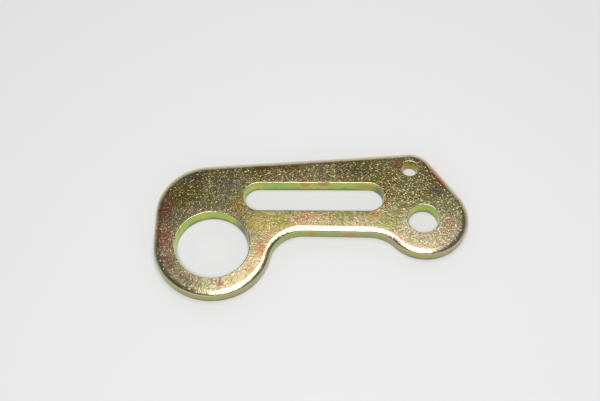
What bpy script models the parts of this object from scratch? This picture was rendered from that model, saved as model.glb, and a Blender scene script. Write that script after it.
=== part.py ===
"""Slotted plate of a casement window stay: one piece of 4 mm steel sheet, blanked in a press.

The plate lies flat on XY, +X along the slot and +Z up, with its origin under the middle of its box.
Its outline is a belt: arcs round six centres, joined by the straight lines that touch them.
The sketch is drawn from the middle of the slot, then moved so that the origin is in its place.
"""
import math

import bmesh
import bpy
from mathutils import Vector

MM = 0.001

# Sheet and its pressed edges
SHEET_THICKNESS = 4.0 * MM
OUTER_ROLL = 1.1 * MM      # rounding that the punch leaves round the outside of the top face
HOLE_ROLL = 0.5 * MM       # the same round the four openings
BOTTOM_BREAK = 0.2 * MM    # tumbled lower edges
BORDER = OUTER_ROLL + 0.1 * MM

# Slot, its centre line on X
SLOT_WIDTH = 9.0 * MM
SLOT_CENTRES = 34.0 * MM   # between the centres of its two round ends

# Holes, each placed from what it works with
EYE_DIAMETER = 22.0 * MM
EYE_FROM_SLOT_END = Vector((-14.1, -17.15)) * MM
PIVOT_DIAMETER = 9.0 * MM
PIVOT_FROM_SLOT_END = Vector((16.8, -7.65)) * MM
PIN_DIAMETER = 4.5 * MM
PIN_FROM_PIVOT = Vector((-3.75, 18.05)) * MM

# Outline round the holes
EYE_WALL = 7.0 * MM
EYE_BOSS_SHIFT = Vector((0.15, 0.4)) * MM
PIVOT_WALL = 8.5 * MM
PIVOT_BOSS_SHIFT = Vector((0.65, 0.45)) * MM
PIN_CORNER_RADIUS = 7.05 * MM
PIN_CORNER_SHIFT = Vector((0.15, -1.65)) * MM
SHOULDER_RADIUS = 16.7 * MM
SHOULDER_FROM_EYE = Vector((-0.95, 11.4)) * MM

# Waist under the slot
WAIST_WALL = 7.85 * MM     # from the slot to the lower edge, at the middle of the slot
WAIST_SLOPE = math.radians(-0.8)
EYE_FILLET = 10.3 * MM
PIVOT_FILLET = 11.0 * MM

# Facets
ARC_STEP = math.radians(6.0)
ROLL_SEGMENTS = 3
WELD_DISTANCE = 0.00001
SMOOTH_ANGLE = math.radians(30.0)

PART_NAME = "window_stay"
NODE_NAME = "stay_plate"


def remove_all_objects():
    """Empty the scene before the part is built."""
    for obj in list(bpy.data.objects):
        bpy.data.objects.remove(obj, do_unlink=True)


def arc(centre, radius, start, end):
    """Points from angle start to angle end, both included, on a circle."""
    steps = max(1, math.ceil(abs(end - start) / ARC_STEP))
    angles = [start + (end - start) * i / steps for i in range(steps + 1)]
    return [centre + radius * Vector((math.cos(a), math.sin(a))) for a in angles]


def circle(centre, diameter):
    """Points once round a hole, without the first point twice."""
    return arc(centre, diameter / 2, 0.0, 2 * math.pi)[:-1]


def slot(half_length, width):
    """Points round a slot whose centre line lies on X, about the origin."""
    quarter = math.pi / 2
    right = arc(Vector((half_length, 0.0)), width / 2, -quarter, quarter)
    left = arc(Vector((-half_length, 0.0)), width / 2, quarter, 3 * quarter)
    return right + left


def touch_angle(first, second):
    """Angle of the normal of the line that touches two discs, each (centre, signed radius).

    A positive radius keeps the line on the disc's outer side, a negative one on its inner side.
    """
    apart = second[0] - first[0]
    lean = max(-1.0, min(1.0, (first[1] - second[1]) / apart.length))
    return math.atan2(apart.y, apart.x) - math.acos(lean)


def belt(discs):
    """Closed outline, anticlockwise, round discs of positive radius and inside negative ones."""
    normals = [touch_angle(disc, discs[(i + 1) % len(discs)]) for i, disc in enumerate(discs)]
    points = []
    for i, (centre, radius) in enumerate(discs):
        start, end = normals[i - 1], normals[i]
        if radius > 0:
            turn = (end - start) % (2 * math.pi)
        else:
            turn = -((start - end) % (2 * math.pi))
        run = arc(centre, radius, start, start + turn)
        if points and (run[0] - points[-1]).length < WELD_DISTANCE:
            run = run[1:]
        points += run
    return points


def waist_fillet(boss_centre, boss_radius, radius, side):
    """Centre of the arc that touches the waist's lower edge and a boss; side is +1 right of it."""
    along = Vector((math.cos(WAIST_SLOPE), math.sin(WAIST_SLOPE)))
    up = Vector((-along.y, along.x))
    edge = Vector((0.0, -SLOT_WIDTH / 2 - WAIST_WALL))
    from_edge = boss_centre - edge
    reach = (boss_radius + radius) ** 2 - (from_edge.dot(up) + radius) ** 2
    return edge + along * (from_edge.dot(along) + side * math.sqrt(reach)) - up * radius


def sketch():
    """The outline and the four openings, as closed loops about the origin's place in XY."""
    half_slot = SLOT_CENTRES / 2
    eye = Vector((-half_slot, 0.0)) + EYE_FROM_SLOT_END
    pivot = Vector((half_slot, 0.0)) + PIVOT_FROM_SLOT_END
    pin = pivot + PIN_FROM_PIVOT

    eye_boss = eye + EYE_BOSS_SHIFT
    eye_boss_radius = EYE_DIAMETER / 2 + EYE_WALL
    pivot_boss = pivot + PIVOT_BOSS_SHIFT
    pivot_boss_radius = PIVOT_DIAMETER / 2 + PIVOT_WALL
    outline = belt([
        (eye_boss, eye_boss_radius),
        (waist_fillet(eye_boss, eye_boss_radius, EYE_FILLET, 1), -EYE_FILLET),
        (waist_fillet(pivot_boss, pivot_boss_radius, PIVOT_FILLET, -1), -PIVOT_FILLET),
        (pivot_boss, pivot_boss_radius),
        (pin + PIN_CORNER_SHIFT, PIN_CORNER_RADIUS),
        (eye + SHOULDER_FROM_EYE, SHOULDER_RADIUS),
    ])
    openings = [
        slot(half_slot, SLOT_WIDTH),
        circle(eye, EYE_DIAMETER),
        circle(pivot, PIVOT_DIAMETER),
        circle(pin, PIN_DIAMETER),
    ]
    xs = [point.x for point in outline]
    ys = [point.y for point in outline]
    middle = Vector((min(xs) + max(xs), min(ys) + max(ys))) / 2
    return [[point - middle for point in loop] for loop in [outline] + openings]


def sheet_curve(loops):
    """The loops as one filled 2D curve, as thick as the sheet, with its underside at Z = 0."""
    curve = bpy.data.curves.new(NODE_NAME, "CURVE")
    curve.dimensions = "2D"
    curve.fill_mode = "BOTH"
    curve.extrude = SHEET_THICKNESS / 2
    for loop in loops:
        spline = curve.splines.new("POLY")
        spline.points.add(len(loop) - 1)
        for point, place in zip(spline.points, loop):
            point.co = (place.x, place.y, 0.0, 1.0)
        spline.use_cyclic_u = True
    obj = bpy.data.objects.new(NODE_NAME + "_curve", curve)
    obj.location.z = SHEET_THICKNESS / 2
    return obj


def mesh_from_curve(curve_object, collection):
    """The filled curve as a welded mesh object that stands where the curve stood."""
    collection.objects.link(curve_object)
    bpy.context.view_layer.update()
    evaluated = curve_object.evaluated_get(bpy.context.evaluated_depsgraph_get())
    mesh = bpy.data.meshes.new_from_object(evaluated)
    mesh.name = NODE_NAME
    work = bmesh.new()
    work.from_mesh(mesh)
    bmesh.ops.remove_doubles(work, verts=work.verts, dist=WELD_DISTANCE)
    work.to_mesh(mesh)
    work.free()
    solid = bpy.data.objects.new(NODE_NAME, mesh)
    solid.matrix_world = curve_object.matrix_world
    collection.objects.link(solid)
    bpy.data.objects.remove(curve_object, do_unlink=True)
    return solid


def flat_faces(work, height):
    """The faces that lie flat at a height."""
    return [face for face in work.faces
            if all(abs(vert.co.z - height) < WELD_DISTANCE for vert in face.verts)]


def rim(work, loop, height):
    """The sharp edges that follow a loop of the sketch at a height."""
    def on_rim(vert):
        level = abs(vert.co.z - height) < WELD_DISTANCE
        return level and any((vert.co.xy - point).length < WELD_DISTANCE for point in loop)

    sharp = [edge for edge in work.edges if edge.calc_face_angle(0.0) > SMOOTH_ANGLE]
    return [edge for edge in sharp if all(on_rim(vert) for vert in edge.verts)]


def round_pressed_edges(solid, loops):
    """Round the rims: wide outside on top, narrow at the openings, slight below.

    A border of even quads goes round each flat face first, for the bevels to slide along. The
    thin triangles inside it fold over each other, so the flat faces are filled again at the end.
    """
    top = SHEET_THICKNESS / 2
    outline, openings = loops[0], loops[1:]
    rims = [(outline, top, OUTER_ROLL)]
    rims += [(loop, top, HOLE_ROLL) for loop in openings]
    rims += [(loop, -top, BOTTOM_BREAK) for loop in loops]
    work = bmesh.new()
    work.from_mesh(solid.data)
    for height in (top, -top):
        bmesh.ops.inset_region(work, faces=flat_faces(work, height), thickness=BORDER)
    for loop, height, size in rims:
        bmesh.ops.bevel(work, geom=rim(work, loop, height), offset=size, offset_type="OFFSET",
                        segments=ROLL_SEGMENTS, profile=0.5, affect="EDGES",
                        clamp_overlap=False, loop_slide=True)
    for height in (top, -top):
        bmesh.ops.delete(work, geom=flat_faces(work, height), context="FACES")
        open_rims = [edge for edge in work.edges if edge.is_boundary]
        bmesh.ops.triangle_fill(work, edges=open_rims, use_beauty=True, normal=(0, 0, height))
    bmesh.ops.recalc_face_normals(work, faces=work.faces)
    work.to_mesh(solid.data)
    work.free()
    solid.data.shade_smooth()
    solid.data.set_sharp_from_angle(angle=SMOOTH_ANGLE)


def plated_steel():
    """Zinc plate with a yellow passivation, an olive gold metal."""
    material = bpy.data.materials.new("Yellow passivated zinc plate")
    material.use_nodes = True
    shader = material.node_tree.nodes["Principled BSDF"]
    shader.inputs["Base Color"].default_value = (0.42, 0.36, 0.14, 1.0)
    shader.inputs["Metallic"].default_value = 1.0
    shader.inputs["Roughness"].default_value = 0.35
    return material


def build():
    remove_all_objects()
    collection = bpy.data.collections.new(PART_NAME)
    bpy.context.scene.collection.children.link(collection)
    loops = sketch()
    plate = mesh_from_curve(sheet_curve(loops), collection)
    round_pressed_edges(plate, loops)
    plate.data.materials.clear()
    plate.data.materials.append(plated_steel())


build()
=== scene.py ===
"""Looks of a casement window stay's slotted plate: blanked steel, zinc plated, yellow passivated.

The plate's contours are read from the CAD plate. Geometry Nodes sweep the edge that a press
leaves round each of them: outside, a wide rounded roll on top and a sheared wall, slightly torn
at its foot; at the openings, a narrow roll and a wall that breaks out toward the top. The flat
faces are then filled between the rims.
"""
import math

import bmesh
import bpy
from mathutils import Matrix, Vector

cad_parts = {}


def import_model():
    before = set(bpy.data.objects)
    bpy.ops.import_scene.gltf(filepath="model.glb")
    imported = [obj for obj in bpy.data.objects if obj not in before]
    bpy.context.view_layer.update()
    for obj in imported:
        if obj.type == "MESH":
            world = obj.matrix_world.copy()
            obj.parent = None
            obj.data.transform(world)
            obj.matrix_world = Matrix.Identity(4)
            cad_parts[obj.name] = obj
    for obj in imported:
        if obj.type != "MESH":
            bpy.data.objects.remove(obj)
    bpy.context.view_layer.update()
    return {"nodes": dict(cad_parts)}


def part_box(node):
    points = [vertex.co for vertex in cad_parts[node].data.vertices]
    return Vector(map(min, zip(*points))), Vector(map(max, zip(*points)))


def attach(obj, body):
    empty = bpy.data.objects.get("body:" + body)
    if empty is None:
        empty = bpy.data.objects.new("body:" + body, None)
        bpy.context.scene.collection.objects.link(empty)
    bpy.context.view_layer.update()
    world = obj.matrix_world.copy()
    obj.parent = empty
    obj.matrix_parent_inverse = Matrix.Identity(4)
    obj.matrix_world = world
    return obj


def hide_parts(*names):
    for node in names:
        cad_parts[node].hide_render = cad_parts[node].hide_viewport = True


MM = 0.001
PLATE = "stay_plate"

# Contours
WALL_FOOT = 0.2 * MM         # where the CAD plate's walls start, above their broken lower edge
SAME_PLACE = 0.01 * MM       # CAD points nearer than this are one
SAME_SPOT = 0.001 * MM       # and so are the pressed plate's nearer than this
LONGEST_FACET = 2.5 * MM     # a longer CAD facet is a straight run and not part of an arc
LINED_UP = 1e-12             # three points line up if twice their cross product, in m2, is less
CONTOUR_STEP = 0.3 * MM      # the finer contour's step, at most

# What the press leaves, as sizes of the edge's section; the unevenness is a share of its depth
EDGE_SIZES = {
    "Outer roll width": 2.1 * MM,
    "Outer roll depth": 0.5 * MM,
    "Outer lip": 0.14 * MM,
    "Hole roll width": 0.3 * MM,
    "Hole roll depth": 0.11 * MM,
    "Hole lip": 0.04 * MM,
    "Break-out": 0.43 * MM,
    "Border": 0.25 * MM,
    "Tear lean": 0.1 * MM,
    "Foot": 0.22 * MM,
    "Unevenness": 0.5,
    "Nick size": 2.3 * MM,
    "Nick depth": 0.16 * MM,
}
WANDER_SIZE = 2.0 * MM       # length of the roll's unevenness
WANDER_SEED = 3.0
NICK_FROM_SLOT = Vector((3.2, 4.5, 0.0)) * MM
BORDERS_LEFT = 3.0           # the outer roll leaves this many borders of flat at an opening
NARROWING = 0.5 * MM         # how smoothly it narrows to that

# The section's shares, from the flat beside the roll, past 0 at the roll, to 1 at the underside
SECTION_POINTS = 42
BORDER_SHARE = -0.04         # the section starts here
ROLL_SHARE = 0.5             # where the roll meets the wall in a crisp edge
FOOT_SHARE = 0.88            # where the wall ends in the foot
UNDER_SHARE = 0.99           # past this it is the flat underside
NICK_FULL_SHARE = 0.2        # where the nick has its full depth
NICK_END_SHARE = 0.7         # and where it has faded out, down the wall

# Shares of the way down the wall
TEAR_SHARE = 0.55            # where the torn part starts
BREAK_OUT_SHARE = 0.75       # how far an opening's break-out reaches

ROLL_POWER = 2.4             # the roll's fall grows with this power of the way across it
LIP_POWER = 14.0             # and its last sharp turn with this one
CRISP_ANGLE = math.radians(32.0)    # an edge that turns by more stays crisp

# Finish
PLATE_TOP_MM = 4.0
TOP_STAIN_DEPTH_MM = 1.6     # how far down a rolled edge a stain on top reaches
CLOUD = 14 * MM
WALL_CLOUD = 9 * MM
ROLL_CLOUD = 16 * MM
MOTTLE = 2.5 * MM
SPECKLE = 0.9 * MM
DINT = (1.25 * MM, 0.4 * MM, 1.25 * MM)
GRAIN_HEIGHT = 0.065 * MM

FLOOR_GAP = 0.02 * MM

# Camera
LENS_MM = 90.0
SENSOR_MM = 36.0
CAMERA_DISTANCE = 470.2 * MM
CAMERA_AZIMUTH = math.radians(1.057)
CAMERA_ELEVATION = math.radians(59.447)
CAMERA_ROLL = math.radians(-0.647)
AIM_FROM_SLOT = Vector((-4.346, 0.85, 0.0)) * MM


def add(tree, kind, inputs=None, **settings):
    """A node of a tree, with its settings, and its inputs set or linked by name or place."""
    made = tree.nodes.new(kind)
    for name, value in settings.items():
        setattr(made, name, value)
    for key, value in (inputs or {}).items():
        if isinstance(value, bpy.types.NodeSocket):
            tree.links.new(value, made.inputs[key])
        else:
            made.inputs[key].default_value = value
    return made


def linear(hex_colour):
    """An sRGB hex colour as linear red, green and blue, with full alpha."""
    parts = [int(hex_colour[i:i + 2], 16) / 255 for i in (1, 3, 5)]
    parts = [c / 12.92 if c <= 0.04045 else ((c + 0.055) / 1.055) ** 2.4 for c in parts]
    return (*parts, 1.0)


# Contours, from the CAD plate

def facet_loops(plate):
    """The loops that the CAD plate's walls follow, each with the metal on its left.

    A wall's triangle that stands on the wall's foot has one edge there, and gives one step.
    """
    following = {}
    places = {}
    for polygon in plate.data.polygons:
        corners = [plate.data.vertices[i].co for i in polygon.vertices]
        low = [i for i, corner in enumerate(corners) if abs(corner.z - WALL_FOOT) < SAME_PLACE]
        if len(low) != 2 or sum(corner.z for corner in corners) / 3 < WALL_FOOT:
            continue
        first, second = (low[0], low[1]) if (low[0] + 1) % 3 == low[1] else (low[1], low[0])
        keys = []
        for i in (first, second):
            key = (round(corners[i].x / SAME_PLACE), round(corners[i].y / SAME_PLACE))
            places[key] = Vector((corners[i].x, corners[i].y))
            keys.append(key)
        following[keys[0]] = keys[1]
    loops = []
    while following:
        start = min(following)
        loop = [start]
        key = following.pop(start)
        while key != start:
            loop.append(key)
            key = following.pop(key)
        loops.append([places[k] for k in loop])
    return loops


def area(loop):
    """Signed area of a loop, positive anticlockwise."""
    return sum(a.x * b.y - b.x * a.y for a, b in zip(loop, loop[1:] + loop[:1])) / 2


def centre(loop):
    """Middle of a loop's box."""
    xs = [point.x for point in loop]
    ys = [point.y for point in loop]
    return Vector(((min(xs) + max(xs)) / 2, (min(ys) + max(ys)) / 2, 0.0))


def circle_through(a, b, c):
    """Centre and radius of the circle through three points; an endless radius if they line up."""
    ab, ac = b - a, c - a
    cross = 2 * (ab.x * ac.y - ab.y * ac.x)
    if abs(cross) < LINED_UP:
        return a, math.inf
    x = (ac.y * ab.length_squared - ab.y * ac.length_squared) / cross
    y = (ab.x * ac.length_squared - ac.x * ab.length_squared) / cross
    return a + Vector((x, y)), math.hypot(x, y)


def fine_contour(loop):
    """The same loop in finer steps, with its facets turned back into arcs."""
    points = []
    count = len(loop)
    for i, here in enumerate(loop):
        before, after, beyond = loop[i - 1], loop[(i + 1) % count], loop[(i + 2) % count]
        run = after - here
        steps = max(1, math.ceil(run.length / CONTOUR_STEP))
        if run.length > LONGEST_FACET:
            points += [here + run * (j / steps) for j in range(steps)]
            continue
        rounds = circle_through(before, here, after), circle_through(here, after, beyond)
        middle = min(rounds, key=lambda found: found[1])[0]
        start = here - middle
        turn = start.angle_signed(after - middle)
        points += [middle + Matrix.Rotation(-turn * j / steps, 2) @ start for j in range(steps)]
    return points


def rim_curves(contours):
    """The contours as one curve object; a point's radius is 1 outside and 0 at an opening."""
    curve = bpy.data.curves.new("Rims", "CURVE")
    curve.dimensions = "3D"
    for contour in contours:
        spline = curve.splines.new("POLY")
        spline.points.add(len(contour) - 1)
        outside = 1.0 if area(contour) > 0 else 0.0
        for point, place in zip(spline.points, contour):
            point.co = (place.x, place.y, 0.0, 1.0)
            point.radius = outside
        spline.use_cyclic_u = True
    return bpy.data.objects.new("Rims", curve)


# The pressed plate, swept and filled by Geometry Nodes

def pressed_plate_tree(material):
    """Sweeps the pressed edge's section round every contour and fills both flat faces."""
    tree = bpy.data.node_groups.new("Pressed plate", "GeometryNodeTree")
    face = tree.interface
    face.new_socket("Rims", in_out="INPUT", socket_type="NodeSocketGeometry")
    face.new_socket("Thickness", in_out="INPUT", socket_type="NodeSocketFloat")
    for name in EDGE_SIZES:
        face.new_socket(name, in_out="INPUT", socket_type="NodeSocketFloat")
    face.new_socket("Nick place", in_out="INPUT", socket_type="NodeSocketVector")
    face.new_socket("Section points", in_out="INPUT", socket_type="NodeSocketInt")
    face.new_socket("Seed", in_out="INPUT", socket_type="NodeSocketFloat")
    face.new_socket("Plate", in_out="OUTPUT", socket_type="NodeSocketGeometry")
    size = add(tree, "NodeGroupInput").outputs
    math_node, vector_node = "ShaderNodeMath", "ShaderNodeVectorMath"
    store, read = "GeometryNodeStoreNamedAttribute", "GeometryNodeInputNamedAttribute"

    # Each point of a contour keeps its place and the way into the metal
    tangent = add(tree, "GeometryNodeInputTangent")
    inward = add(tree, vector_node, {0: (0.0, 0.0, 1.0), 1: tangent.outputs[0]},
                 operation="CROSS_PRODUCT")
    place = add(tree, "GeometryNodeInputPosition")
    radius = add(tree, "GeometryNodeInputRadius")
    rims = add(tree, store, {"Geometry": size["Rims"], "Name": "place", "Value": place.outputs[0]},
               data_type="FLOAT_VECTOR")
    rims = add(tree, store, {"Geometry": rims.outputs[0], "Name": "inward",
                             "Value": inward.outputs[0]}, data_type="FLOAT_VECTOR")
    rims = add(tree, store, {"Geometry": rims.outputs[0], "Name": "outside",
                             "Value": radius.outputs[0]}, data_type="FLOAT")
    rims = add(tree, "GeometryNodeSetCurveRadius", {"Curve": rims.outputs[0], "Radius": MM})

    # The section is swept as a plain line of any size, and its points are put in place further on
    line = add(tree, "GeometryNodeCurvePrimitiveLine", {"Start": (BORDER_SHARE, 0.0, 0.0),
                                                        "End": (1.0, 0.0, 0.0)})
    line = add(tree, "GeometryNodeResampleCurve", {"Curve": line.outputs[0],
                                                   "Count": size["Section points"]})
    along = add(tree, "ShaderNodeSeparateXYZ", {0: place.outputs[0]})
    line = add(tree, store, {"Geometry": line.outputs[0], "Name": "section",
                             "Value": along.outputs["X"]}, data_type="FLOAT")
    band = add(tree, "GeometryNodeCurveToMesh", {"Curve": rims.outputs[0],
                                                 "Profile Curve": line.outputs[0]})

    place = add(tree, read, {"Name": "place"}, data_type="FLOAT_VECTOR").outputs[0]
    inward = add(tree, read, {"Name": "inward"}, data_type="FLOAT_VECTOR").outputs[0]
    outside = add(tree, read, {"Name": "outside"}, data_type="FLOAT").outputs[0]
    section = add(tree, read, {"Name": "section"}, data_type="FLOAT").outputs[0]

    # The roll wanders along the rim, as the tool's edge wears
    wander = add(tree, "ShaderNodeTexNoise", {"Vector": place, "W": size["Seed"],
                                              "Scale": 1 / WANDER_SIZE, "Detail": 4.0,
                                              "Roughness": 0.65}, noise_dimensions="4D")
    wander = add(tree, math_node, {0: wander.outputs[0], 1: 0.5}, operation="SUBTRACT")
    wander = add(tree, math_node, {0: wander.outputs[0], 1: size["Unevenness"], 2: 1.0},
                 operation="MULTIPLY_ADD")

    # Beside an opening the outer roll narrows to the metal that there is
    at_opening = add(tree, "FunctionNodeCompare", {0: outside, 1: 0.5}, operation="LESS_THAN")
    holes = add(tree, "GeometryNodeSeparateGeometry", {"Geometry": rims.outputs[0],
                                                       "Selection": at_opening.outputs[0]})
    holes = add(tree, "GeometryNodeCurveToMesh", {"Curve": holes.outputs[0]})
    metal = add(tree, "GeometryNodeProximity", {"Target": holes.outputs[0],
                                                "Source Position": place},
                target_element="EDGES")
    metal = add(tree, math_node, {0: metal.outputs["Distance"], 1: size["Hole roll width"]},
                operation="SUBTRACT")
    metal = add(tree, math_node, {0: metal.outputs[0], 1: size["Break-out"]},
                operation="SUBTRACT")
    metal = add(tree, math_node, {0: size["Border"], 1: -BORDERS_LEFT, 2: metal.outputs[0]},
                operation="MULTIPLY_ADD")
    outer_width = add(tree, math_node, {0: size["Outer roll width"], 1: metal.outputs[0],
                                        2: NARROWING}, operation="SMOOTH_MIN")
    width = add(tree, "ShaderNodeMix", {0: outside, 2: size["Hole roll width"],
                                        3: outer_width.outputs[0]})
    depth = add(tree, "ShaderNodeMix", {0: outside, 2: size["Hole roll depth"],
                                        3: size["Outer roll depth"]})
    depth = add(tree, math_node, {0: depth.outputs[0], 1: wander.outputs[0]},
                operation="MULTIPLY")
    lip = add(tree, "ShaderNodeMix", {0: outside, 2: size["Hole lip"], 3: size["Outer lip"]})

    # Roll: falls ever faster from the flat to its crisp edge
    border = add(tree, "ShaderNodeMapRange", {0: section, 1: BORDER_SHARE, 2: 0.0, 3: 1.0, 4: 0.0})
    border = add(tree, math_node, {0: border.outputs[0], 1: size["Border"]},
                 operation="MULTIPLY")
    across = add(tree, "ShaderNodeMapRange", {0: section, 1: 0.0, 2: ROLL_SHARE})
    back = add(tree, math_node, {0: 1.0, 1: across.outputs[0]}, operation="SUBTRACT")
    roll_in = add(tree, math_node, {0: back.outputs[0], 1: width.outputs[0],
                                    2: border.outputs[0]}, operation="MULTIPLY_ADD")
    fall = add(tree, math_node, {0: across.outputs[0], 1: ROLL_POWER}, operation="POWER")
    roll_down = add(tree, math_node, {0: fall.outputs[0], 1: depth.outputs[0]},
                    operation="MULTIPLY")
    turn_down = add(tree, math_node, {0: across.outputs[0], 1: LIP_POWER}, operation="POWER")
    roll_down = add(tree, math_node, {0: turn_down.outputs[0], 1: lip.outputs[0],
                                      2: roll_down.outputs[0]}, operation="MULTIPLY_ADD")

    # Wall: straight down, its lower part torn and leaning in outside; an opening was pierced the
    # other way, so its wall breaks out toward the top
    down = add(tree, "ShaderNodeMapRange", {0: section, 1: ROLL_SHARE, 2: FOOT_SHARE})
    tall = add(tree, math_node, {0: size["Thickness"], 1: depth.outputs[0]},
               operation="SUBTRACT")
    tall = add(tree, math_node, {0: tall.outputs[0], 1: lip.outputs[0]}, operation="SUBTRACT")
    tall = add(tree, math_node, {0: tall.outputs[0], 1: size["Foot"]}, operation="SUBTRACT")
    wall_down = add(tree, math_node, {0: down.outputs[0], 1: tall.outputs[0]},
                    operation="MULTIPLY")
    torn = add(tree, "ShaderNodeMapRange", {0: down.outputs[0], 1: TEAR_SHARE, 2: 1.0},
               interpolation_type="SMOOTHSTEP")
    lean_in = add(tree, math_node, {0: torn.outputs[0], 1: size["Tear lean"]},
                  operation="MULTIPLY")
    lean_in = add(tree, math_node, {0: lean_in.outputs[0], 1: outside}, operation="MULTIPLY")
    flare = add(tree, "ShaderNodeMapRange", {0: down.outputs[0], 1: 0.0, 2: BREAK_OUT_SHARE,
                                             3: 1.0, 4: 0.0})
    flare = add(tree, math_node, {0: flare.outputs[0], 1: size["Break-out"]},
                operation="MULTIPLY")
    opening = add(tree, math_node, {0: 1.0, 1: outside}, operation="SUBTRACT")
    flare = add(tree, math_node, {0: flare.outputs[0], 1: opening.outputs[0]},
                operation="MULTIPLY")

    # Foot: a small quarter round
    turn = add(tree, "ShaderNodeMapRange", {0: section, 1: FOOT_SHARE, 2: 1.0, 4: math.pi / 2})
    foot_sine = add(tree, math_node, {0: turn.outputs[0]}, operation="SINE")
    foot_cosine = add(tree, math_node, {0: turn.outputs[0]}, operation="COSINE")
    foot_down = add(tree, math_node, {0: foot_sine.outputs[0], 1: size["Foot"]},
                    operation="MULTIPLY")
    rest = add(tree, math_node, {0: 1.0, 1: foot_cosine.outputs[0]}, operation="SUBTRACT")
    foot_in = add(tree, math_node, {0: rest.outputs[0], 1: size["Foot"]}, operation="MULTIPLY")

    # One nick, knocked into an opening's rim from above
    away = add(tree, vector_node, {0: place, 1: size["Nick place"]}, operation="DISTANCE")
    near = add(tree, "ShaderNodeMapRange", {0: away.outputs["Value"], 2: size["Nick size"],
                                            3: 1.0, 4: 0.0}, interpolation_type="SMOOTHSTEP")
    upper = add(tree, "ShaderNodeMapRange", {0: section, 1: 0.0, 2: NICK_FULL_SHARE},
                interpolation_type="SMOOTHSTEP")
    lower = add(tree, "ShaderNodeMapRange", {0: section, 1: ROLL_SHARE, 2: NICK_END_SHARE,
                                             3: 1.0, 4: 0.0}, interpolation_type="SMOOTHSTEP")
    nick = add(tree, math_node, {0: near.outputs[0], 1: upper.outputs[0]}, operation="MULTIPLY")
    nick = add(tree, math_node, {0: nick.outputs[0], 1: lower.outputs[0]}, operation="MULTIPLY")
    nick = add(tree, math_node, {0: nick.outputs[0], 1: size["Nick depth"]},
               operation="MULTIPLY")

    # Each point's place: so far into the metal from its contour, and so high
    inset = roll_in
    for part in (lean_in, flare, foot_in, nick):
        inset = add(tree, math_node, {0: inset.outputs[0], 1: part.outputs[0]}, operation="ADD")
    height = add(tree, math_node, {0: size["Thickness"], 1: roll_down.outputs[0]},
                 operation="SUBTRACT")
    for part in (wall_down, foot_down, nick):
        height = add(tree, math_node, {0: height.outputs[0], 1: part.outputs[0]},
                     operation="SUBTRACT")
    sideways = add(tree, vector_node, {0: inward, "Scale": inset.outputs[0]}, operation="SCALE")
    up = add(tree, "ShaderNodeCombineXYZ", {"Z": height.outputs[0]})
    target = add(tree, vector_node, {0: place, 1: sideways.outputs[0]}, operation="ADD")
    target = add(tree, vector_node, {0: target.outputs[0], 1: up.outputs[0]}, operation="ADD")
    band = add(tree, "GeometryNodeSetPosition", {"Geometry": band.outputs[0],
                                                 "Position": target.outputs[0]})

    # Both flat faces, filled between the band's open rims: the upper one is where the section
    # starts, the lower one where it ends
    faces_at = add(tree, "GeometryNodeInputMeshEdgeNeighbors")
    is_open = add(tree, "FunctionNodeCompare", {2: faces_at.outputs[0], 3: 1},
                  data_type="INT", operation="EQUAL")
    is_top = add(tree, "FunctionNodeCompare", {0: section, 1: 0.5}, operation="LESS_THAN")
    is_low = add(tree, "FunctionNodeCompare", {0: section, 1: 0.5}, operation="GREATER_THAN")
    pieces = [band]
    where = add(tree, "ShaderNodeSeparateXYZ",
                {0: add(tree, "GeometryNodeInputPosition").outputs[0]})
    for side, level, share in ((is_top, size["Thickness"], 0.0), (is_low, 0.0, 1.0)):
        chosen = add(tree, "FunctionNodeBooleanMath", {0: is_open.outputs[0],
                                                       1: side.outputs[0]}, operation="AND")
        edge = add(tree, "GeometryNodeMeshToCurve", {"Mesh": band.outputs[0],
                                                     "Selection": chosen.outputs[0]})
        flat = add(tree, "GeometryNodeFillCurve", {"Curve": edge.outputs[0]})
        flat_place = add(tree, "ShaderNodeCombineXYZ", {
            "X": where.outputs["X"], "Y": where.outputs["Y"], "Z": level})
        flat = add(tree, "GeometryNodeSetPosition", {"Geometry": flat.outputs[0],
                                                     "Position": flat_place.outputs[0]})
        pieces.append(add(tree, store, {"Geometry": flat.outputs[0], "Name": "section",
                                        "Value": share}, data_type="FLOAT"))
    whole = add(tree, "GeometryNodeJoinGeometry")
    for piece in reversed(pieces):
        tree.links.new(piece.outputs[0], whole.inputs[0])
    whole = add(tree, "GeometryNodeMergeByDistance", {"Geometry": whole.outputs[0],
                                                      "Distance": SAME_SPOT})
    whole = add(tree, "GeometryNodeRealizeInstances", {"Geometry": whole.outputs[0]})
    whole = add(tree, "GeometryNodeSetMaterial", {"Geometry": whole.outputs[0],
                                                  "Material": material})
    add(tree, "NodeGroupOutput", {"Plate": whole.outputs[0]})
    return tree


def plain_mesh(curve_object, tree, values, name):
    """What the tree makes of the curve, as a closed, smooth mesh object at the origin."""
    bpy.context.scene.collection.objects.link(curve_object)
    modifier = curve_object.modifiers.new(tree.name, "NODES")
    modifier.node_group = tree
    for item in tree.interface.items_tree:
        if item.in_out == "INPUT" and item.name in values:
            modifier[item.identifier] = values[item.name]
    bpy.context.view_layer.update()
    evaluated = curve_object.evaluated_get(bpy.context.evaluated_depsgraph_get())
    mesh = bpy.data.meshes.new_from_object(evaluated)
    mesh.name = name
    work = bmesh.new()
    work.from_mesh(mesh)
    bmesh.ops.recalc_face_normals(work, faces=work.faces)
    work.to_mesh(mesh)
    work.free()
    mesh.shade_smooth()
    mesh.set_sharp_from_angle(angle=CRISP_ANGLE)
    bpy.data.objects.remove(curve_object, do_unlink=True)
    made = bpy.data.objects.new(name, mesh)
    bpy.context.scene.collection.objects.link(made)
    return made


# Finish

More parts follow.
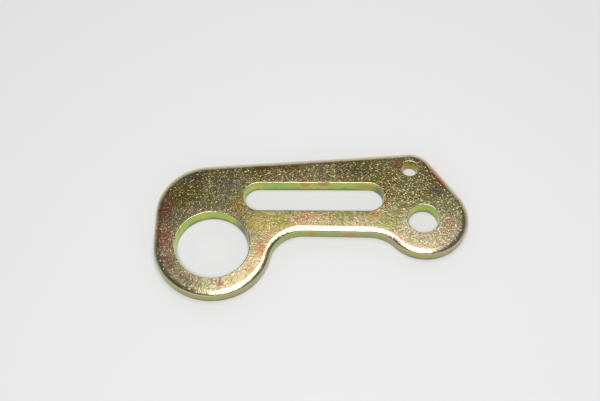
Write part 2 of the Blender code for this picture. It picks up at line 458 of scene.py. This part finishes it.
def stains_and_painted_light(eye, slot, pivot, pin):
    """Where the passivation ran or dried in another colour; also a painted sheen on the waist and
    painted shade on two inner walls that face the same way.

    Each has a middle from an opening's centre, a half length and a half width, all in mm; the way
    it runs, in degrees; its colour; and how strongly it shows. One on a wall also has its height
    above the underside, and a half height.
    """
    on_top = (
        (eye, (-14.6, 12.6), (6.5, 2.4), 80, "#AC7258", 0.8),
        (eye, (-14.6, 2.4), (6.5, 2.8), 92, "#C48A70", 0.85),
        (eye, (-12.8, -6.4), (4.0, 1.7), 120, "#B88670", 0.75),
        (eye, (-14.6, 6.6), (2.6, 0.2), 38, "#E0CFAA", 0.9),
        (eye, (-15.6, 5.0), (1.9, 0.2), 24, "#E0CFAA", 0.9),
        (eye, (-6.5, 24.2), (4.5, 1.6), 24, "#857A70", 0.7),
        (eye, (3.5, 21.0), (5.0, 3.0), 30, "#85826C", 0.6),
        (slot, (-17.0, 10.0), (3.6, 1.3), 3, "#8E5C46", 0.7),
        (slot, (-7.0, 10.4), (7.0, 1.1), 3, "#8E5F48", 0.7),
        (slot, (12.5, 9.6), (5.0, 2.2), -8, "#7E7868", 0.65),
        (eye, (7.7, 14.4), (4.6, 2.1), 62, "#BC9C54", 0.85),
        (eye, (7.2, 10.6), (1.5, 1.2), 60, "#C69A7C", 0.9),
        (eye, (14.6, -1.0), (3.4, 2.2), 70, "#CC9068", 0.75),
        (eye, (11.8, -8.4), (3.0, 1.3), 55, "#C49870", 0.6),
        (eye, (2.9, -12.2), (1.6, 0.3), 84, "#7E4A3E", 0.7),
        (eye, (2.9, -13.6), (1.3, 1.3), 0, "#B0705A", 0.7),
        (eye, (-7.0, -12.4), (4.5, 1.6), -30, "#94886A", 0.6),
        (eye, (9.6, 8.0), (3.4, 0.9), -46, "#96907E", 0.8),
        (slot, (1.9, 8.6), (2.6, 0.5), 88, "#A87470", 0.75),
        (slot, (2.8, 5.3), (2.0, 0.6), 0, "#C0A8A0", 0.75),
        # Painted sheen: a pale cream patch on the waist, where the flat mirrors the overhead light
        (slot, (-9.0, -9.0), (13.0, 3.4), 0, "#ECD89C", 0.5),
        (slot, (-16.5, -9.5), (6.5, 4.4), -30, "#D2BC66", 0.6),
        (slot, (23.0, -9.0), (5.0, 3.0), 0, "#B8B06C", 0.5),
        (slot, (22.3, -1.6), (2.0, 0.9), 88, "#B87C4C", 0.8),
        (slot, (18.6, -6.6), (3.2, 1.6), 50, "#C6A25C", 0.7),
        (slot, (-2.4, -7.6), (5.5, 1.3), 12, "#D6A684", 0.75),
        (slot, (-10.5, -8.5), (4.0, 2.6), -30, "#B4AE58", 0.7),
        (slot, (7.5, -6.8), (4.5, 1.6), 6, "#B6B664", 0.6),
        (pin, (-3.8, 1.4), (2.6, 1.6), 20, "#B47A5C", 0.8),
        (pin, (0.0, -0.8), (3.4, 3.2), 0, "#B08C50", 0.55),
        (pin, (9.2, -2.7), (5.6, 1.5), -62, "#DC9C84", 0.95),
        (pivot, (4.5, 9.9), (3.0, 2.0), -40, "#86787A", 0.7),
        (pivot, (-8.3, -6.2), (3.2, 1.5), -50, "#D0A090", 0.7),
        (pivot, (8.3, -2.2), (3.6, 2.2), 70, "#CCA684", 0.65),
        (pivot, (-9.6, 0.6), (6.0, 3.6), 70, "#A6A264", 0.6),
        (pivot, (7.6, 4.4), (3.6, 2.6), 60, "#A4A070", 0.6),
    )
    on_walls = (
        # Painted shade: grey brown on the eye's right inner wall, where it is in shade
        (eye, (9.9, 4.9, 1.6), (6.4, 2.4, 3.2), -64, "#746C60", 0.95),
        (slot, (2.0, -12.6, 1.6), (22.0, 3.4, 4.0), 0, "#98B45A", 0.6),
        (slot, (-2.9, 4.8, 2.9), (1.7, 0.8, 1.1), 0, "#BC9450", 0.8),
        (slot, (2.8, 4.8, 3.1), (2.6, 0.8, 0.9), 0, "#B89A5C", 0.7),
        (slot, (16.0, 4.6, 1.8), (4.0, 0.8, 1.6), 0, "#B0A452", 0.8),
        # Painted shade: dark grey on the slot's right end wall, which faces the same way as the
        # eye's
        (slot, (20.9, 2.0, 1.6), (3.6, 1.8, 3.0), -60, "#6E7462", 0.85),
        (pivot, (-4.2, 1.2, 1.4), (2.2, 1.0, 2.6), 100, "#8A8E80", 0.7),
        (slot, (-0.5, -12.4, 1.8), (1.4, 0.9, 1.6), 0, "#C08C60", 0.8),
        (slot, (11.4, -12.6, 1.2), (2.6, 0.9, 1.6), -3, "#C08A70", 0.8),
        (pin, (0.0, 1.8, 2.2), (3.0, 1.6, 3.0), 0, "#B48C4C", 0.85),
    )
    found = []
    for anchor, offset, half_sizes, way, colour, strength in on_top:
        middle = anchor + Vector(offset + (PLATE_TOP_MM,)) * MM
        found.append((middle, half_sizes + (TOP_STAIN_DEPTH_MM,), way, colour, strength, False))
    for anchor, offset, half_sizes, way, colour, strength in on_walls:
        middle = anchor + Vector(offset) * MM
        found.append((middle, half_sizes, way, colour, strength, True))
    return found


def passivated_zinc(marks):
    """Zinc plate, yellow passivated: a thin, uneven film of colour on bright, slightly rough zinc.

    What it gives the eye: metal of an olive gold that turns greener and pinker in clouds, with
    tiny bright dints; a thinner, paler film on the rolled edges; a thicker, green one on the
    sheared walls; and run marks in rust red and orange. It also paints light: a paler near side
    and a pale patch on the waist as painted sheen, and painted shade on two walls and at the
    walls' feet.
    """
    material = bpy.data.materials.new("Zinc plate, yellow passivated")
    material.use_nodes = True
    tree = material.node_tree
    tree.nodes.clear()
    noise, shift = "ShaderNodeTexNoise", "ShaderNodeMapRange"
    mix, sums = "ShaderNodeMix", "ShaderNodeMath"
    spot = add(tree, "ShaderNodeTexCoord").outputs["Object"]
    section = add(tree, "ShaderNodeAttribute", attribute_name="section").outputs["Fac"]
    outside = add(tree, "ShaderNodeAttribute", attribute_name="outside").outputs["Fac"]

    # How far a spot is on the wall, and on the roll; the underside is on neither
    under = add(tree, shift, {0: section, 1: UNDER_SHARE, 2: 1.0}).outputs[0]
    wall = add(tree, shift, {0: section, 1: ROLL_SHARE - 0.005, 2: ROLL_SHARE + 0.005})
    wall = add(tree, sums, {0: wall.outputs[0], 1: under}, operation="SUBTRACT").outputs[0]
    roll = add(tree, shift, {0: section, 1: 0.02, 2: 0.4}, interpolation_type="SMOOTHSTEP")
    roll = add(tree, sums, {0: roll.outputs[0], 1: under}, operation="SUBTRACT").outputs[0]

    # The film's clouds, in three sizes. The zinc's own grain is too fine to show, so the
    # smallest is drawn coarser than that
    cloud = add(tree, noise, {"Vector": spot, "Scale": 1 / CLOUD, "Detail": 3.0,
                              "Distortion": 0.4})
    mottle = add(tree, noise, {"Vector": spot, "Scale": 1 / MOTTLE, "Detail": 4.0,
                               "Roughness": 0.6})
    speckle = add(tree, noise, {"Vector": spot, "Scale": 1 / SPECKLE, "Detail": 2.0})
    cloud_share = add(tree, shift, {0: cloud.outputs[0], 1: 0.38, 2: 0.62})
    film = add(tree, mix, {0: cloud_share.outputs[0], 6: linear("#A89242"), 7: linear("#A2966C")},
               data_type="RGBA")

    # Painted sheen: paler and lighter away from the long straight side, where the flats mirror the
    # overhead light
    across = add(tree, "ShaderNodeVectorMath", {0: spot, 1: (-0.07, 1.0, 0.0)},
                 operation="DOT_PRODUCT").outputs["Value"]
    pale = add(tree, shift, {0: across, 1: 11 * MM, 2: -5 * MM, 4: 0.8},
               interpolation_type="SMOOTHSTEP")
    film = add(tree, mix, {0: pale.outputs[0], 6: film.outputs[2], 7: linear("#DCCAA6")},
               data_type="RGBA")

    # Greener and pinker clouds
    green = add(tree, shift, {0: mottle.outputs[0], 1: 0.52, 2: 0.64, 4: 0.6})
    film = add(tree, mix, {0: green.outputs[0], 6: film.outputs[2], 7: linear("#98A85A")},
               data_type="RGBA")
    pink = add(tree, shift, {0: mottle.outputs[0], 1: 0.46, 2: 0.35, 4: 0.6})
    film = add(tree, mix, {0: pink.outputs[0], 6: film.outputs[2], 7: linear("#BC967A")},
               data_type="RGBA")

    # Fine dull pits and bright crystals in it, fewer under the painted sheen
    pit = add(tree, shift, {0: speckle.outputs[0], 1: 0.46, 2: 0.34, 4: 0.5})
    dull = add(tree, sums, {0: 1.0, 1: pale.outputs[0]}, operation="SUBTRACT")
    pit = add(tree, sums, {0: pit.outputs[0], 1: dull.outputs[0]}, operation="MULTIPLY")
    film = add(tree, mix, {0: pit.outputs[0], 6: film.outputs[2], 7: linear("#756C48")},
               data_type="RGBA")
    crystal = add(tree, shift, {0: speckle.outputs[0], 1: 0.56, 2: 0.68, 4: 0.5})
    crystal = add(tree, sums, {0: crystal.outputs[0], 1: dull.outputs[0]}, operation="MULTIPLY")
    film = add(tree, mix, {0: crystal.outputs[0], 6: film.outputs[2], 7: linear("#E6DCAA")},
               data_type="RGBA")

    # Grain of the zinc, and short dints from handling that run three ways and thin the film
    height = add(tree, sums, {0: speckle.outputs[0], 1: 0.5, 2: mottle.outputs[0]},
                 operation="MULTIPLY_ADD")
    for turn, offset_mm in ((20, 0.0), (75, 5.0), (140, 9.0)):
        way = add(tree, "ShaderNodeMapping", {
            "Vector": spot, "Location": (offset_mm * MM, 0.0, 0.0),
            "Rotation": (0.0, 0.0, math.radians(turn)), "Scale": DINT}, vector_type="TEXTURE")
        dint = add(tree, "ShaderNodeTexVoronoi", {"Vector": way.outputs[0], "Scale": 1.0})
        dint = add(tree, shift, {0: dint.outputs["Distance"], 1: 0.3, 2: 0.05})
        height = add(tree, sums, {0: dint.outputs[0], 1: -0.42, 2: height.outputs[0]},
                     operation="MULTIPLY_ADD")
        rubbed = add(tree, sums, {0: dint.outputs[0], 1: 0.6}, operation="MULTIPLY")
        film = add(tree, mix, {0: rubbed.outputs[0], 6: film.outputs[2], 7: linear("#D2CAB0")},
                   data_type="RGBA")

    # A thinner, paler film on the rolled edge
    tint = add(tree, noise, {"Vector": spot, "Scale": 1 / ROLL_CLOUD, "Detail": 1.0})
    tint = add(tree, shift, {0: tint.outputs[0], 1: 0.42, 2: 0.58})
    rolled_film = add(tree, mix, {0: tint.outputs[0], 6: linear("#D0CCA4"), 7: linear("#DAC4B0")},
                      data_type="RGBA")
    thin = add(tree, sums, {0: roll, 1: 0.8}, operation="MULTIPLY")
    film = add(tree, mix, {0: thin.outputs[0], 6: film.outputs[2], 7: rolled_film.outputs[2]},
               data_type="RGBA")

    # A thicker film on the wall, green to yellow green in long clouds; more khaki round outside
    along = add(tree, noise, {"Vector": spot, "Scale": 1 / WALL_CLOUD, "Detail": 2.0})
    hue = add(tree, shift, {0: along.outputs[0], 1: 0.4, 2: 0.6})
    wall_film = add(tree, mix, {0: hue.outputs[0], 6: linear("#A0C466"), 7: linear("#C4C866")},
                    data_type="RGBA")
    khaki = add(tree, sums, {0: hue.outputs[0], 1: 0.25, 2: 0.7}, operation="MULTIPLY_ADD")
    khaki = add(tree, sums, {0: khaki.outputs[0], 1: outside}, operation="MULTIPLY")
    wall_film = add(tree, mix, {0: khaki.outputs[0], 6: wall_film.outputs[2],
                                7: linear("#B0A46E")}, data_type="RGBA")
    film = add(tree, mix, {0: wall, 6: film.outputs[2], 7: wall_film.outputs[2]},
               data_type="RGBA")

    # The wall's lower part is torn and takes a duller, darker film, with a ragged upper edge; the
    # underside takes it too. Its darkness at the wall's foot is also painted shade, where the wall
    # meets the ground
    torn = add(tree, sums, {0: mottle.outputs[0], 1: 0.3, 2: section}, operation="MULTIPLY_ADD")
    torn = add(tree, shift, {0: torn.outputs[0], 1: 0.88, 2: 0.96, 4: 0.7})
    film = add(tree, mix, {0: torn.outputs[0], 6: film.outputs[2], 7: linear("#807C5C")},
               data_type="RGBA")

    # Run marks, each with a ragged edge; three of them are painted light: a painted sheen on the
    # waist and painted shade on two walls
    ragged = add(tree, sums, {0: mottle.outputs[0], 1: 0.5}, operation="SUBTRACT")
    for middle, half_sizes, way, colour, strength, on_wall in marks:
        where = add(tree, "ShaderNodeMapping", {
            "Vector": spot, "Location": middle, "Rotation": (0.0, 0.0, math.radians(way)),
            "Scale": Vector(half_sizes) * MM}, vector_type="TEXTURE")
        away = add(tree, "ShaderNodeVectorMath", {0: where.outputs[0]}, operation="LENGTH")
        away = add(tree, sums, {0: ragged.outputs[0], 1: 1.6, 2: away.outputs["Value"]},
                   operation="MULTIPLY_ADD")
        share = add(tree, shift, {0: away.outputs[0], 1: 1.3, 2: 0.3, 4: strength},
                    interpolation_type="SMOOTHSTEP")
        if on_wall:
            share = add(tree, sums, {0: share.outputs[0], 1: wall}, operation="MULTIPLY")
        film = add(tree, mix, {0: share.outputs[0], 6: film.outputs[2], 7: linear(colour)},
                   data_type="RGBA")

    # Bump: the grain and dints, stronger toward the long straight side and both ends; stronger
    # again on the rolls, most of all at the openings and round the big boss; weak on the walls
    rough_side = add(tree, "ShaderNodeVectorMath", {0: spot, 1: (0.12, 1.0, 0.0)},
                     operation="DOT_PRODUCT").outputs["Value"]
    flat_bump = add(tree, shift, {0: rough_side, 1: -4 * MM, 2: 14 * MM, 3: 0.26, 4: 0.56})
    along_plate = add(tree, "ShaderNodeSeparateXYZ", {0: spot}).outputs["X"]
    from_middle = add(tree, sums, {0: along_plate}, operation="ABSOLUTE")
    end_bump = add(tree, shift, {0: from_middle.outputs[0], 1: 18 * MM, 2: 34 * MM, 4: 0.17})
    flat_bump = add(tree, sums, {0: flat_bump.outputs[0], 1: end_bump.outputs[0]},
                    operation="ADD")
    boss_bump = add(tree, shift, {0: along_plate, 1: -30 * MM, 2: -40 * MM, 3: 0.35, 4: 0.9})
    roll_bump = add(tree, mix, {0: outside, 2: 0.85, 3: boss_bump.outputs[0]})
    top_bump = add(tree, sums, {0: roll, 1: roll_bump.outputs[0], 2: flat_bump.outputs[0]},
                   operation="MULTIPLY_ADD")
    strength = add(tree, mix, {0: wall, 2: top_bump.outputs[0], 3: 0.2})
    bump = add(tree, "ShaderNodeBump", {"Strength": strength.outputs[0],
                                        "Distance": GRAIN_HEIGHT, "Height": height.outputs[0]})
    rough = add(tree, shift, {0: cloud.outputs[0], 1: 0.35, 2: 0.65, 3: 0.22, 4: 0.27})
    shader = add(tree, "ShaderNodeBsdfPrincipled", {
        "Metallic": 1.0, "Roughness": rough.outputs[0], "Base Color": film.outputs[2],
        "Normal": bump.outputs[0]})
    add(tree, "ShaderNodeOutputMaterial", {"Surface": shader.outputs[0]})
    return material


# Set

def pale_floor():
    """Pale board, painted matt: a plain, nearly white ground just under the plate."""
    bpy.ops.mesh.primitive_plane_add(size=4.0, location=(0.0, 0.0, -FLOOR_GAP))
    floor = bpy.context.object
    floor.name = "Floor"
    material = bpy.data.materials.new("Matt pale board")
    material.use_nodes = True
    shader = material.node_tree.nodes["Principled BSDF"]
    shader.inputs["Base Color"].default_value = linear("#BEBEBE")
    shader.inputs["Roughness"].default_value = 0.9
    shader.inputs["Specular IOR Level"].default_value = 0.2
    floor.data.materials.append(material)
    return floor


def studio_walls():
    """Dim ceiling, with pale walls low down behind and in front, and dimmer ones at the sides."""
    world = bpy.data.worlds.new("Studio")
    world.use_nodes = True
    tree = world.node_tree
    way = add(tree, "ShaderNodeTexCoord").outputs["Generated"]
    way = add(tree, "ShaderNodeSeparateXYZ", {0: way})
    low = add(tree, "ShaderNodeMapRange", {0: way.outputs["Z"], 1: 0.74, 2: 0.42, 3: 0.12, 4: 1.0},
              interpolation_type="SMOOTHSTEP")
    side = add(tree, "ShaderNodeMath", {0: way.outputs["Y"]}, operation="ABSOLUTE")
    back = add(tree, "ShaderNodeMapRange", {0: side.outputs[0], 1: 0.35, 2: 0.8, 3: 0.5, 4: 1.0},
               interpolation_type="SMOOTHSTEP")
    strength = add(tree, "ShaderNodeMath", {0: low.outputs[0], 1: back.outputs[0]},
                   operation="MULTIPLY")
    background = tree.nodes["Background"]
    background.inputs["Color"].default_value = (1.0, 1.0, 1.0, 1.0)
    tree.links.new(strength.outputs[0], background.inputs["Strength"])
    return world


def soft_box(name, centre_at, aim, width, depth, radiance):
    """A rectangular area light that faces a point; radiance is what a mirror would show."""
    light = bpy.data.lights.new(name, "AREA")
    light.shape = "RECTANGLE"
    light.size = width
    light.size_y = depth
    light.energy = radiance * width * depth * math.pi
    lamp = bpy.data.objects.new(name, light)
    lamp.location = centre_at
    lamp.visible_camera = False
    lamp.rotation_euler = (Vector(aim) - Vector(centre_at)).to_track_quat("-Z", "Y").to_euler()
    bpy.context.scene.collection.objects.link(lamp)
    return lamp


def look_from_above(aim):
    """The camera, aimed at a point of the plate."""
    sine, cosine = math.sin(CAMERA_ELEVATION), math.cos(CAMERA_ELEVATION)
    back = Vector((math.sin(CAMERA_AZIMUTH) * cosine, -math.cos(CAMERA_AZIMUTH) * cosine, sine))
    right = Vector((math.cos(CAMERA_AZIMUTH), math.sin(CAMERA_AZIMUTH), 0.0))
    upright = Matrix((right, back.cross(right), back)).transposed()
    camera = bpy.data.cameras.new("Camera")
    camera.lens = LENS_MM
    camera.sensor_width = SENSOR_MM
    camera.clip_start = 0.01
    eye = bpy.data.objects.new("Camera", camera)
    turned = upright @ Matrix.Rotation(CAMERA_ROLL, 3, "Z")
    eye.matrix_world = Matrix.Translation(aim + back * CAMERA_DISTANCE) @ turned.to_4x4()
    bpy.context.scene.collection.objects.link(eye)
    bpy.context.scene.camera = eye


def main():
    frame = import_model()

    cad_plate = frame["nodes"][PLATE]
    # The outline comes first, then the openings from the largest to the smallest
    loops = sorted(facet_loops(cad_plate), key=lambda loop: -abs(area(loop)))
    eye, slot, pivot, pin = [centre(loop) for loop in loops[1:]]
    low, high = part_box(PLATE)

    material = passivated_zinc(stains_and_painted_light(eye, slot, pivot, pin))
    tree = pressed_plate_tree(material)
    values = dict(EDGE_SIZES)
    values["Thickness"] = high.z - low.z
    values["Section points"] = SECTION_POINTS
    values["Seed"] = WANDER_SEED
    values["Nick place"] = slot + NICK_FROM_SLOT
    rims = rim_curves([fine_contour(loop) for loop in loops])
    plate = plain_mesh(rims, tree, values, "pressed_plate")
    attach(plate, "root")
    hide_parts(PLATE)

    pale_floor()
    soft_box("Overhead", centre_at=(0.014, 0.004, 0.34), aim=(0.014, 0.004, 0.0),
             width=0.105, depth=0.29, radiance=6.3)
    # This one lights the board and isn't mirrored in the plate
    board_light = soft_box("Board light", centre_at=(-0.12, -0.8, 1.6), aim=(0.0, 0.0, 0.0),
                           width=0.6, depth=0.6, radiance=28.0)
    board_light.visible_glossy = False
    scene = bpy.context.scene
    scene.world = studio_walls()
    scene.view_settings.view_transform = "Standard"
    look_from_above(slot + AIM_FROM_SLOT)


main()
